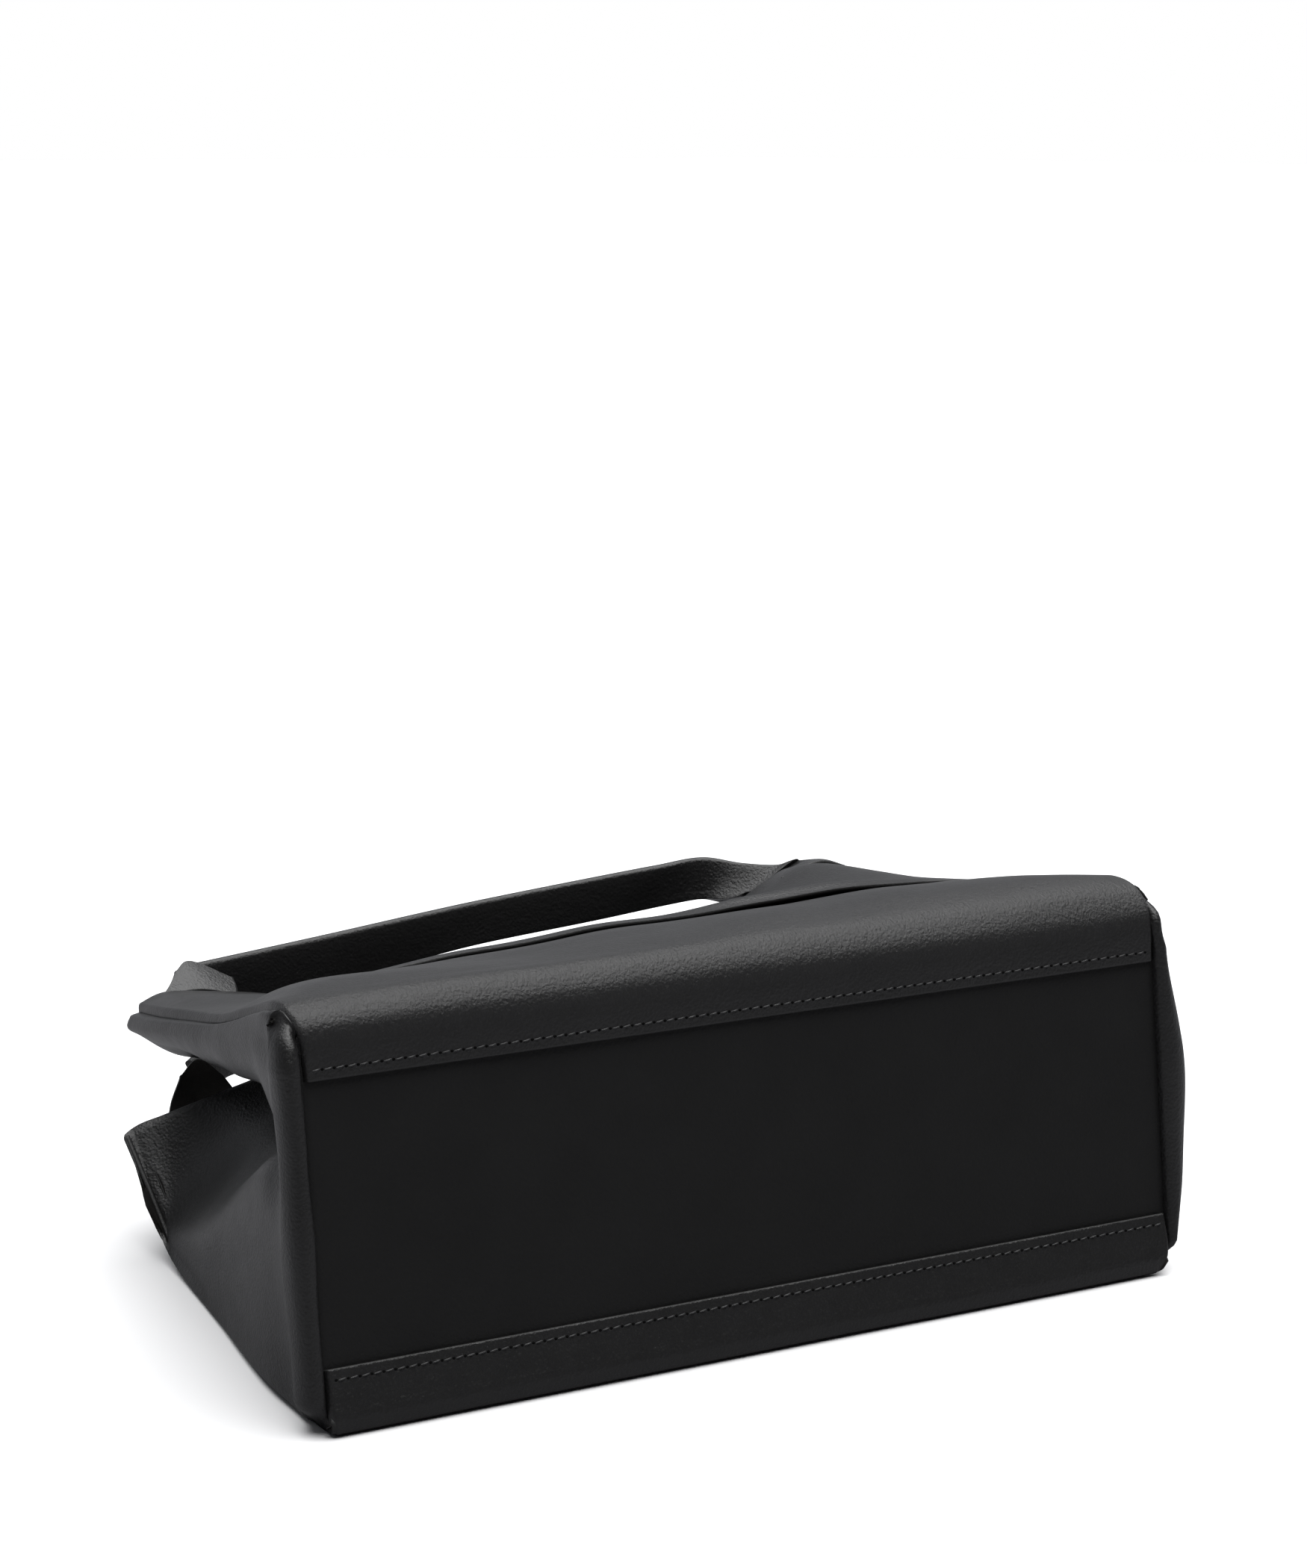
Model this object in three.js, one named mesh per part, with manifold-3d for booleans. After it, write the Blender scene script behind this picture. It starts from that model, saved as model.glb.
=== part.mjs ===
// A soft leather doctor bag lying on its back panel, base towards -Y, mouth towards +Y.
// Millimetres, +Z up. The origin is the middle of the flat part of the back panel, on the surface
// that the bag lies on. +X runs along the bag, from its left end to its right end.

import * as THREE from "three";
import { mergeVertices } from "three/addons/utils/BufferGeometryUtils.js";
import Module from "manifold-3d";

const wasm = await Module();
wasm.setup();

// ---------------------------------------------------------------- driving dimensions

const LENGTH = 380;
const DEPTH = 156;
const LEATHER = 1.8;
const THIN_LEATHER = 1.2;
const BOARD = 2.5;
const GAP = 0.3;
const LAP = 25;
const LEAN = THREE.MathUtils.degToRad(7);
const BASE_Y = -100;
const STRAP = 4.6;
const STRAP_CORE = 1.0;
const SNAP_RADIUS = 7;

const HALF = LENGTH / 2;
const SEAM_INSET = 2.5;
const FACING_OFFSET = LEATHER + 2 * GAP + THIN_LEATHER;

// ---------------------------------------------------------------- materials

const finish = (color, roughness, metalness = 0) =>
  new THREE.MeshStandardMaterial({ color, roughness, metalness });

const panelLeather = finish(0x17171a, 0.42);
const baseLeather = finish(0x121214, 0.6);
const fleshLeather = finish(0x2b2a2a, 0.9);
const fibreBoard = finish(0x6d5a44, 0.9);
const strapFelt = finish(0x3a3836, 0.95);
const snapMetal = finish(0x8f8a80, 0.35, 1);

// ---------------------------------------------------------------- surfaces and sheets

const bag = new THREE.Group();

function add(name, geometry, material) {
  const mesh = new THREE.Mesh(geometry, material);
  mesh.name = name;
  bag.add(mesh);
  return mesh;
}

const vector = ([x, y, z]) => new THREE.Vector3(x, y, z);

// A surface through a grid of points: u runs over the rows, v along each row.
function surface(rows) {
  const rowCurves = rows.map((row) => new THREE.CatmullRomCurve3(row.map(vector)));
  return (u, v) => {
    const crossing = rowCurves.map((curve) => curve.getPoint(v));
    return new THREE.CatmullRomCurve3(crossing).getPoint(u);
  };
}

function normalAt(place, u, v) {
  const step = 1e-3;
  const u0 = Math.max(0, u - step);
  const u1 = Math.min(1, u + step);
  const v0 = Math.max(0, v - step);
  const v1 = Math.min(1, v + step);
  const alongU = place(u1, v).sub(place(u0, v));
  const alongV = place(u, v1).sub(place(u, v0));
  return alongV.cross(alongU).normalize();
}

const evenSteps = (low, high, count) =>
  Array.from({ length: count + 1 }, (_, i) => low + ((high - low) * i) / count);

// The steps of a sheet between two of them, so that layers of one wall share their facets.
const between = (steps, low, high) => steps.filter((t) => t > low - 1e-6 && t < high + 1e-6);

// A closed sheet between two offsets from a surface, outer first, over a patch of it.
function sheet(place, outer, inner, us, vs, floor = -Infinity) {
  const positions = [];
  const index = [];
  for (const offset of [outer, inner]) {
    for (const u of us) {
      for (const v of vs) {
        const point = place(u, v).addScaledVector(normalAt(place, u, v), offset);
        const lift = offset === outer ? floor : floor + outer - inner;
        positions.push(point.x, point.y, Math.max(point.z, lift));
      }
    }
  }
  const columns = vs.length;
  const layer = us.length * columns;
  const at = (side, i, j) => side * layer + i * columns + j;
  const quad = (a, b, c, d) => index.push(a, b, c, a, c, d);
  for (let i = 0; i + 1 < us.length; i += 1) {
    for (let j = 0; j + 1 < columns; j += 1) {
      quad(at(0, i, j), at(0, i, j + 1), at(0, i + 1, j + 1), at(0, i + 1, j));
      quad(at(1, i, j), at(1, i + 1, j), at(1, i + 1, j + 1), at(1, i, j + 1));
    }
  }
  const last = us.length - 1;
  for (let j = 0; j + 1 < columns; j += 1) {
    quad(at(0, 0, j), at(1, 0, j), at(1, 0, j + 1), at(0, 0, j + 1));
    quad(at(0, last, j), at(0, last, j + 1), at(1, last, j + 1), at(1, last, j));
  }
  for (let i = 0; i < last; i += 1) {
    quad(at(0, i, 0), at(0, i + 1, 0), at(1, i + 1, 0), at(1, i, 0));
    const end = columns - 1;
    quad(at(0, i, end), at(1, i, end), at(1, i + 1, end), at(0, i + 1, end));
  }
  const geometry = new THREE.BufferGeometry();
  geometry.setAttribute("position", new THREE.Float32BufferAttribute(positions, 3));
  geometry.setIndex(index);
  return geometry;
}

// ---------------------------------------------------------------- joining and cutting

function toSolid(geometry) {
  const bare = geometry.clone();
  bare.deleteAttribute("normal");
  bare.deleteAttribute("uv");
  const merged = mergeVertices(bare, 1e-4);
  const vertProperties = new Float32Array(merged.attributes.position.array);
  const triVerts = new Uint32Array(merged.index.array);
  return new wasm.Manifold(new wasm.Mesh({ numProp: 3, vertProperties, triVerts }));
}

function toGeometry(solid) {
  const mesh = solid.getMesh();
  const geometry = new THREE.BufferGeometry();
  geometry.setAttribute("position", new THREE.Float32BufferAttribute(mesh.vertProperties, 3));
  geometry.setIndex(Array.from(mesh.triVerts));
  return geometry;
}

const join = (...geometries) =>
  toGeometry(geometries.map(toSolid).reduce((whole, piece) => whole.add(piece)));
const cut = (body, tool) => toGeometry(toSolid(body).subtract(toSolid(tool)));

// ---------------------------------------------------------------- base

// A point on the outer plane of the base, at a height up its lean and a depth behind it.
function basePoint(x, height, depth = 0) {
  const y = BASE_Y + height * Math.sin(LEAN) + depth * Math.cos(LEAN);
  const z = height * Math.cos(LEAN) - depth * Math.sin(LEAN);
  return [x, y, z];
}

const BASE_LOW = 7;
const BASE_HIGH = DEPTH - 15;
const BOARD_MARGIN = 3;
const COVER_MARGIN = 4;

// A flat layer of the base, set in by a margin all round.
function baseSlab(margin, depth, thickness) {
  const low = BASE_LOW + margin;
  const high = BASE_HIGH - margin;
  const length = LENGTH - 2 * (SEAM_INSET + margin);
  const geometry = new THREE.BoxGeometry(length, thickness, high - low);
  geometry.rotateX(-LEAN);
  const [x, y, z] = basePoint(0, (low + high) / 2, depth + thickness / 2);
  geometry.translate(x, y, z);
  return geometry;
}

const basePanelDepth = LEATHER + GAP;
const boardDepth = basePanelDepth + LEATHER + GAP;
const coverDepth = boardDepth + BOARD + GAP;

add("base_panel", baseSlab(0, basePanelDepth, LEATHER), baseLeather);
add("base_board", baseSlab(BOARD_MARGIN, boardDepth, BOARD), fibreBoard);
add("base_cover", baseSlab(COVER_MARGIN, coverDepth, THIN_LEATHER), fleshLeather);

// ---------------------------------------------------------------- front panel

// Each row of the front panel: its Y, its two ends in X, and its heights from left to right.
const FRONT_STATIONS = [0, 0.05, 0.155, 0.29, 0.45, 0.61, 0.77, 0.9, 1];
const FRONT_ROWS = [
  [-80, -187, 187, [150, 150.5, 151, 151, 151, 151, 151, 150.5, 149]],
  [-72, -187, 186, [155, 156, 157.5, 157.5, 158, 158.5, 159, 159.5, 157]],
  [-60, -186, 186, [154, 155.5, 157.5, 157, 158.5, 160.5, 162, 161.5, 158]],
  [-40, -184, 186, [149.5, 152.5, 155, 153.3, 157, 160, 161, 160.5, 153]],
  [-7, -181, 185, [141, 143.5, 146, 144, 146.5, 151, 152.3, 152, 146]],
  [30, -177, 183, [130, 131, 132, 130, 132, 137, 139, 143, 139]],
  [70, -172, 180, [120, 120, 120, 116, 117, 121, 128, 140, 131]],
];
const FRONT_NECK = [
  [-169, 112, 110], [-153, 114, 111.5], [-122, 112, 109], [-82, 102, 105], [-23, 94, 107],
  [39, 93, 110], [96, 97, 119], [140, 105, 137], [175, 110, 124],
];
const FRONT_MOUTH = [
  [-163, 161, 99], [-150, 162, 103], [-121, 158, 102], [-80, 134, 98], [-22, 121, 99],
  [38, 117, 102], [94, 122, 112], [139, 126, 131], [170, 152, 116],
];

const baseRow = (height, inset) =>
  FRONT_STATIONS.map((f) => basePoint((2 * f - 1) * (HALF - inset), height));
const frontRow = ([y, left, right, heights]) =>
  FRONT_STATIONS.map((f, i) => [left + (right - left) * f, y, heights[i]]);

const frontSurface = surface([
  baseRow(DEPTH - LAP, SEAM_INSET),
  baseRow(DEPTH - LAP / 2, SEAM_INSET),
  ...FRONT_ROWS.map(frontRow),
  FRONT_NECK,
  FRONT_MOUTH,
]);
const SNAP_U = [0.92, 0.97];
const FRONT_SNAP_V = [0.515, 0.575];
const FRONT_U = [0, 0.05, 0.1, 0.14, 0.18, 0.22, 0.26, 0.3, 0.36, 0.44, 0.52, 0.6, 0.7, 0.8, 0.87,
  ...SNAP_U, 1];
const FRONT_V = [...evenSteps(0, 0.465, 7), ...FRONT_SNAP_V, ...evenSteps(0.64, 1, 6)];

const frontSheet = sheet(frontSurface, 0, -LEATHER, FRONT_U, FRONT_V);

// The shoulder that runs out of the mouth edge and turns along the handle.
const leftShoulder = surface([
  [[-153, 156, 103.8], [-137, 156, 104.2], [-121, 154, 102.8]],
  [[-151, 165, 108], [-139, 168, 103], [-124, 166, 98]],
  [[-137, 175, 112], [-139, 176, 101], [-132, 173, 92]],
  [[-115, 172.5, 106], [-115, 172.5, 98], [-115, 172, 91]],
]);
const SHOULDER_PROUD = 0.2;
const shoulderSheet = sheet(leftShoulder, SHOULDER_PROUD, SHOULDER_PROUD - LEATHER,
  evenSteps(0, 1, 8), evenSteps(0, 1, 4));

// The slot of the outside pocket, a straight cut across the panel.
const SLOT_HALF = 145;
const SLOT_Y = -5;
const SLOT_WIDTH = 2.4;
const slotTool = new THREE.BoxGeometry(2 * SLOT_HALF, SLOT_WIDTH, DEPTH);
slotTool.translate(0, SLOT_Y, DEPTH);

add("front_panel", cut(join(frontSheet, shoulderSheet), slotTool), panelLeather);

const pocketSheet = sheet(frontSurface, -LEATHER - GAP, -LEATHER - GAP - THIN_LEATHER,
  between(FRONT_U, 0.22, 0.6), between(FRONT_V, 0.06, 0.94));
add("front_pocket_backing", pocketSheet, fleshLeather);

const frontFacing = sheet(frontSurface, -FACING_OFFSET, -FACING_OFFSET - THIN_LEATHER,
  between(FRONT_U, 0.87, 1), FRONT_V);
add("front_mouth_facing", frontFacing, fleshLeather);

// ---------------------------------------------------------------- back panel

// Each row of the back panel: its Y and height, and its two ends in X.
const BACK_STATIONS = [0, 0.1, 0.3, 0.5, 0.7, 0.9, 1];
const BACK_ROWS = [
  [-101, 5.5, -187, 187],
  [-98, 1, -187, 187],
  [-92, 0, -187, 187],
  [-80, 0, -187, 187],
  [-30, 0, -184, 185],
  [20, 0, -177, 182],
  [70, 0, -171, 178],
];
const BACK_BEND = [
  [-168, 103, 5], [-140, 102, 4], [-72, 104, 3], [0, 106, 2.5], [72, 104, 3], [142, 102, 4],
  [175, 103, 5],
];
const BACK_LIP = [
  [-167, 128, 27], [-140, 128, 25], [-70, 124, 17], [0, 121, 12], [70, 124, 17], [142, 128, 25],
  [171, 128, 27],
];
const BACK_MOUTH = [
  [-169, 149, 46], [-140, 152, 47], [-70, 145, 36], [0, 138, 28], [70, 145, 36], [142, 152, 46],
  [170, 149, 46],
];

const backRow = ([y, z, left, right]) =>
  BACK_STATIONS.map((f) => [left + (right - left) * f, y, z]);
const backSurface = surface([
  BACK_STATIONS.map((f) => basePoint((2 * f - 1) * (HALF - SEAM_INSET), LAP)),
  BACK_STATIONS.map((f) => basePoint((2 * f - 1) * (HALF - SEAM_INSET), LAP / 2, -1)),
  ...BACK_ROWS.map(backRow),
  BACK_BEND,
  BACK_LIP,
  BACK_MOUTH,
]);
const flippedBack = (u, v) => backSurface(u, 1 - v);
const BACK_U = [0, 0.05, 0.1, 0.14, 0.18, 0.22, 0.26, 0.34, 0.44, 0.54, 0.64, 0.72, 0.79, 0.86,
  ...SNAP_U, 1];
const BACK_SNAP_V = [0.47, 0.53];
const BACK_V = [...evenSteps(0, 0.4, 5), ...BACK_SNAP_V, ...evenSteps(0.6, 1, 5)];

const BACK_SHOULDERS = [-1, 1].map((side) => surface([
  [[side * 154, 150, 46.5], [side * 137, 151, 46.8], [side * 118, 152, 45.8]],
  [[side * 150, 160, 60], [side * 137, 163, 58], [side * 124, 164, 55]],
  [[side * 140, 168, 76], [side * 134, 172, 69], [side * 128, 173, 61]],
]));
const backShoulderSheets = BACK_SHOULDERS.map((place, i) => {
  const flipped = (u, v) => place(u, 1 - v);
  return sheet(i === 0 ? flipped : place, 0, -LEATHER, evenSteps(0, 1, 5), evenSteps(0, 1, 4));
});
const backSheet = sheet(flippedBack, 0, -LEATHER, BACK_U, BACK_V, 0);
add("back_panel", join(backSheet, ...backShoulderSheets), panelLeather);

const backFacing = sheet(flippedBack, -FACING_OFFSET, -FACING_OFFSET - THIN_LEATHER,
  between(BACK_U, 0.86, 1), BACK_V.slice(1, -1));
add("back_mouth_facing", backFacing, fleshLeather);

// ---------------------------------------------------------------- end gussets

// Rows run from the base to the rim. Along each row: front seam, upper face, upper fold,
// upper wall, valley, lower wall, lower fold, lower face, back seam.
const gussetBase = [149, 132, 114, 104, 92, 80, 64, 34, 5];
const LEFT_GUSSET = [
  gussetBase.map((height) => basePoint(-HALF, height, 1)),
  [[-189, -68, 150], [-195, -68, 130], [-194, -72, 112], [-191, -72, 104], [-189, -72, 96],
    [-191, -72, 88], [-194, -74, 66], [-193, -78, 34], [-191, -82, 4]],
  [[-187, -38, 147], [-190, -38, 132], [-186, -40, 117], [-175, -41, 109], [-168, -42, 102],
    [-174, -41, 95], [-187, -40, 82], [-190, -44, 42], [-190, -50, 3]],
  [[-181, 12, 133], [-184, 12, 120], [-177, 12, 108], [-157, 8, 103], [-146, 4, 94],
    [-158, 6, 79], [-180, 12, 56], [-183, 8, 28], [-183, 2, 2.5]],
  [[-176, 60, 121], [-178, 60, 110], [-171, 58, 101], [-145, 50, 96], [-130, 42, 86],
    [-148, 50, 64], [-175, 58, 31], [-177, 55, 16], [-176, 50, 2.5]],
  [[-172, 112, 107.5], [-173, 112, 100], [-165, 110, 93], [-135, 97, 89], [-116, 86, 80],
    [-138, 98, 58], [-168, 112, 22], [-173, 110, 15], [-172, 106, 7]],
  [[-168, 160, 97], [-169, 158, 91], [-161, 150, 86], [-136, 134, 82], [-112, 118, 77],
    [-136, 128, 66], [-162, 141, 54], [-172, 146, 50], [-176, 148, 46]],
];

// The right gusset mirrors the left one but stays fuller: it narrows less, its folds are
// shallower, it bulges near the base, and its upper half is lifted row by row.
const RIGHT_NARROWING = 0.6;
const RIGHT_FOLDING = 0.8;
const RIGHT_BULGE = 9;
const BULGED_ROWS = 4;
const RIGHT_LIFT = [0, 4, 3, 6, 8, 11, 17];
const LIFTED_POINTS = 5;
const RIGHT_GUSSET = LEFT_GUSSET.map((row, r) => {
  const seamX = row[0][0];
  const ownSeam = -HALF + (seamX + HALF) * RIGHT_NARROWING;
  const bulge = RIGHT_BULGE * Math.sin((Math.PI * Math.min(r, BULGED_ROWS)) / BULGED_ROWS);
  return row.map(([x, y, z], c) => {
    const inward = Math.max(0, x - seamX) * RIGHT_FOLDING;
    const lift = RIGHT_LIFT[r] * Math.max(0, 1 - c / LIFTED_POINTS);
    return [bulge - ownSeam - inward, y, z + lift];
  });
});

const flippedLeft = surface(LEFT_GUSSET);
const leftGusset = (u, v) => flippedLeft(u, 1 - v);
const rightGusset = surface(RIGHT_GUSSET);
const GUSSET_U = evenSteps(0, 1, 12);
const GUSSET_V = evenSteps(0, 1, 18);

const gussets = [["left", leftGusset, [0.2, 0.95]], ["right", rightGusset, [0.05, 0.8]]];
for (const [side, place, [v0, v1]] of gussets) {
  add(`${side}_gusset`, sheet(place, 0, -LEATHER, GUSSET_U, GUSSET_V), panelLeather);
  const facing = sheet(place, -LEATHER - GAP, -LEATHER - GAP - THIN_LEATHER,
    between(GUSSET_U, 0.83, 1), between(GUSSET_V, v0, v1));
  add(`${side}_gusset_facing`, facing, fleshLeather);
}

// ---------------------------------------------------------------- handles

// A handle is one strip folded along its top edge round a filler, given by its two edges.
const POCKET_TOP = 0.12;
const CORE_SPAN = [0.15, 0.86];

function handle(name, topEdge, bottomEdge) {
  const strap = surface([topEdge, bottomEdge]);
  const pastEdge = 1.1;
  const downStrap = (u, v) => {
    const top = strap(0, v);
    return top.add(strap(1, v).sub(top).multiplyScalar(u * pastEdge));
  };
  const steps = evenSteps(0, 1, 26);
  const inner = steps.slice(1, -1);
  const whole = sheet(downStrap, STRAP / 2, -STRAP / 2, [0, 1 / pastEdge], steps);
  const room = STRAP_CORE / 2 + GAP;
  const pocket = sheet(downStrap, room, -room, [POCKET_TOP, 1], inner);
  add(name, cut(whole, pocket), panelLeather);
  const endGap = 0.004;
  const filled = [inner[0] + endGap, ...inner.slice(1, -1), inner.at(-1) - endGap];
  const core = sheet(downStrap, STRAP_CORE / 2, -STRAP_CORE / 2, CORE_SPAN, filled);
  add(`${name}_core`, core, strapFelt);
}

handle("front_handle",
  [[-111, 177.5, 111], [-72, 176, 115.5], [0, 171, 124], [60, 166, 130], [112, 160, 134],
    [134, 151, 134], [151, 136, 135]],
  [[-111, 177, 88], [-72, 176, 93], [0, 171, 101], [60, 166, 107], [103, 159, 111],
    [117, 150, 115], [126, 140, 120]]);

handle("back_handle",
  [[-130, 178, 80], [-100, 190, 76], [-40, 200, 66], [20, 202, 62], [80, 196, 66],
    [118, 186, 72], [132, 178, 78]],
  [[-124, 180, 60], [-98, 191, 54], [-40, 201, 43], [20, 203, 39], [80, 197, 43],
    [114, 187, 51], [124, 180, 60]]);

// ---------------------------------------------------------------- shoulder patches

const patchSpans = { left: [0.06, 0.21], right: [0.79, 0.94] };
for (const [side, [v0, v1]] of Object.entries(patchSpans)) {
  const front = sheet(frontSurface, -LEATHER - GAP, -LEATHER - GAP - THIN_LEATHER,
    between(FRONT_U, 0.92, 1), between(FRONT_V, v0, v1));
  add(`front_patch_${side}`, front, fleshLeather);
  const back = sheet(flippedBack, -LEATHER - GAP, -LEATHER - GAP - THIN_LEATHER,
    between(BACK_U, 0.86, 0.97), between(BACK_V, 1 - v1, 1 - v0));
  add(`back_patch_${side}`, back, fleshLeather);
}

// ---------------------------------------------------------------- magnetic snap

// Each half: a backing plate between panel and facing, and a disc on the facing.
function snapDisc(place, u, v, profile) {
  const geometry = new THREE.LatheGeometry(profile.map(([r, h]) => new THREE.Vector2(r, h)), 24);
  const inward = normalAt(place, u, v).negate();
  const up = new THREE.Vector3(0, 1, 0);
  geometry.applyQuaternion(new THREE.Quaternion().setFromUnitVectors(up, inward));
  const foot = place(u, v).addScaledVector(inward, FACING_OFFSET + THIN_LEATHER + 2 * GAP);
  geometry.translate(foot.x, foot.y, foot.z);
  return geometry;
}

const STUD = [[0, 0], [SNAP_RADIUS, 0], [SNAP_RADIUS, 1.2], [SNAP_RADIUS - 0.8, 2], [3, 2],
  [3, 4], [0, 4]];
const SOCKET = [[0, 0], [SNAP_RADIUS, 0], [SNAP_RADIUS, 2.4], [SNAP_RADIUS - 0.8, 3.2],
  [3.4, 3.2], [3.4, 1.2], [0, 1.2]];
const WASHER = 0.8;
const halves = [
  ["stud", frontSurface, FRONT_SNAP_V, STUD],
  ["socket", flippedBack, BACK_SNAP_V, SOCKET],
];
const middle = ([low, high]) => (low + high) / 2;
for (const [kind, place, span, profile] of halves) {
  add(`snap_${kind}`, snapDisc(place, middle(SNAP_U), middle(span), profile), snapMetal);
  const washer = sheet(place, -LEATHER - GAP, -LEATHER - GAP - WASHER, SNAP_U, span);
  add(`snap_${kind}_washer`, washer, snapMetal);
}

export default bag;
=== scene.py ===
"""A black leather doctor bag lying on its back panel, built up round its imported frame."""

import math

import bmesh
import bpy
import numpy as np
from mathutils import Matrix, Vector, noise


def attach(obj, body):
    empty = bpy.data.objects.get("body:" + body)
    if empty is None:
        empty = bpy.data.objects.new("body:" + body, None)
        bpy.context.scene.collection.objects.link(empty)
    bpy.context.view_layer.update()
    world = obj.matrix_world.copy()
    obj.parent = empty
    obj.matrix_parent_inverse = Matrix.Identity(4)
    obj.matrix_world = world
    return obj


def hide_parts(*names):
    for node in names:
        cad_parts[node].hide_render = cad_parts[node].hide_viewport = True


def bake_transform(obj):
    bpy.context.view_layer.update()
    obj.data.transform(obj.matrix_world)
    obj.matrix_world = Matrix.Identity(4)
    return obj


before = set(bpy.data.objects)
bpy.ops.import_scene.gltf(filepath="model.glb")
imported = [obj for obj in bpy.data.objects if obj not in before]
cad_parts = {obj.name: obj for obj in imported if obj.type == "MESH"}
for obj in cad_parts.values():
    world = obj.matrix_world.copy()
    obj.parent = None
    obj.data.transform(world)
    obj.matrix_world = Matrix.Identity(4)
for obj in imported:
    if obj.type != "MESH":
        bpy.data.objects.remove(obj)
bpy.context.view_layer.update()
scene = bpy.context.scene

# ------------------------------------------------------------------ floor, light and camera
# A plain pale floor in a white studio: one very broad soft light overhead, and a glow behind the
# bag that fades to dark in front of it. The camera looks at the base from its left, from above.

bpy.ops.object.select_all(action="DESELECT")
bpy.ops.mesh.primitive_plane_add(size=60, location=(0, 20, 0))
floor = bpy.context.object
floor.name = "floor"
floor_paint = bpy.data.materials.new("floor_paint")
floor_paint.use_nodes = True
floor.data.materials.append(floor_paint)


class Wire:
    """A node's output on which arithmetic can be written."""

    def __init__(self, nodes, socket):
        self.nodes = nodes
        self.socket = socket

    def math(self, operation, first, second):
        return self.nodes.node("ShaderNodeMath", {"operation": operation}, {0: first, 1: second})

    def __add__(self, other):
        return self.math("ADD", self, other)

    def __mul__(self, other):
        return self.math("MULTIPLY", self, other)

    __radd__ = __add__
    __rmul__ = __mul__


class Nodes:
    """A node tree, with one way to add a node and to feed a socket."""

    def __init__(self, tree):
        self.tree = tree

    def node(self, kind, settings=None, inputs=None, output=0):
        made = self.tree.nodes.new(kind)
        for key, value in (settings or {}).items():
            setattr(made, key, value)
        for key, value in (inputs or {}).items():
            self.feed(made.inputs[key], value)
        return Wire(self, made.outputs[output])

    def feed(self, socket, value):
        if isinstance(value, Wire):
            self.tree.links.new(value.socket, socket)
        else:
            socket.default_value = value


floor_nodes = Nodes(floor_paint.node_tree)
floor_shader = floor_nodes.tree.nodes["Principled BSDF"]
floor_shader.inputs["Roughness"].default_value = 0.8
floor_shader.inputs["Specular IOR Level"].default_value = 0.1
floor_seen = floor_nodes.node("ShaderNodeLightPath", output="Is Camera Ray")
FLOOR_AS_MIRRORED = (0.26, 0.26, 0.27, 1)
FLOOR_AS_SEEN = (0.94, 0.94, 0.945, 1)
floor_tone = floor_nodes.node("ShaderNodeMix", {"data_type": "RGBA"},
                              {0: floor_seen, 6: FLOOR_AS_MIRRORED, 7: FLOOR_AS_SEEN}, output=2)
floor_nodes.feed(floor_shader.inputs["Base Color"], floor_tone)

GLOW_FROM = (0.15, 0.9, 0.39)
GLOW_STRENGTH = 0.34
DARK_STRENGTH = 0.02
world = bpy.data.worlds.new("studio")
world.use_nodes = True
sky = Nodes(world.node_tree)
direction = sky.node("ShaderNodeTexCoord", output="Generated")
toward_back = sky.node("ShaderNodeVectorMath", {"operation": "DOT_PRODUCT"},
                       {0: direction, 1: GLOW_FROM}, output="Value")
glow = sky.node("ShaderNodeMapRange", {"interpolation_type": "SMOOTHSTEP"},
                {"Value": toward_back, "From Min": -0.25, "From Max": 0.9,
                 "To Min": DARK_STRENGTH, "To Max": GLOW_STRENGTH})
glow_light = sky.node("ShaderNodeBackground", None,
                      {"Color": (0.93, 0.95, 1.0, 1), "Strength": glow})
white_view = sky.node("ShaderNodeBackground", None, {"Color": (1, 1, 1, 1), "Strength": 1.0})
seen = sky.node("ShaderNodeLightPath", output="Is Camera Ray")
sky_shader = sky.node("ShaderNodeMixShader", None, {0: seen, 1: glow_light, 2: white_view})
sky.feed(sky.tree.nodes["World Output"].inputs["Surface"], sky_shader)
scene.world = world
scene.view_settings.view_transform = "Standard"

LIGHT_TRAVEL = Vector((-0.22, 0.06, -1.6))
overhead = bpy.data.lights.new("overhead", "SUN")
overhead.energy = 4.8
overhead.angle = math.radians(78)
overhead_lamp = bpy.data.objects.new("overhead", overhead)
overhead_lamp.rotation_euler = LIGHT_TRAVEL.to_track_quat("-Z", "Y").to_euler()
scene.collection.objects.link(overhead_lamp)

camera = bpy.data.objects.new("camera", bpy.data.cameras.new("camera"))
camera.location = (-0.6363, -1.1671, 0.4659)
camera.rotation_euler = (math.radians(79.0), 0, math.radians(-28.65))
camera.data.lens = 77.2
scene.collection.objects.link(camera)
scene.camera = camera

# ------------------------------------------------------------------ base panel
# The flat bottom of the bag: one matte near-black leather panel over a stiff board, standing
# about 2 mm back from the two laps that are stitched over its long edges.

MM = 0.001
DEPTH = 156 * MM
LEATHER = 1.8 * MM
THIN_LEATHER = 1.2 * MM
GAP = 0.3 * MM
LAP = 25 * MM
LEAN = math.radians(7)
BASE_Y = -100 * MM


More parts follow.
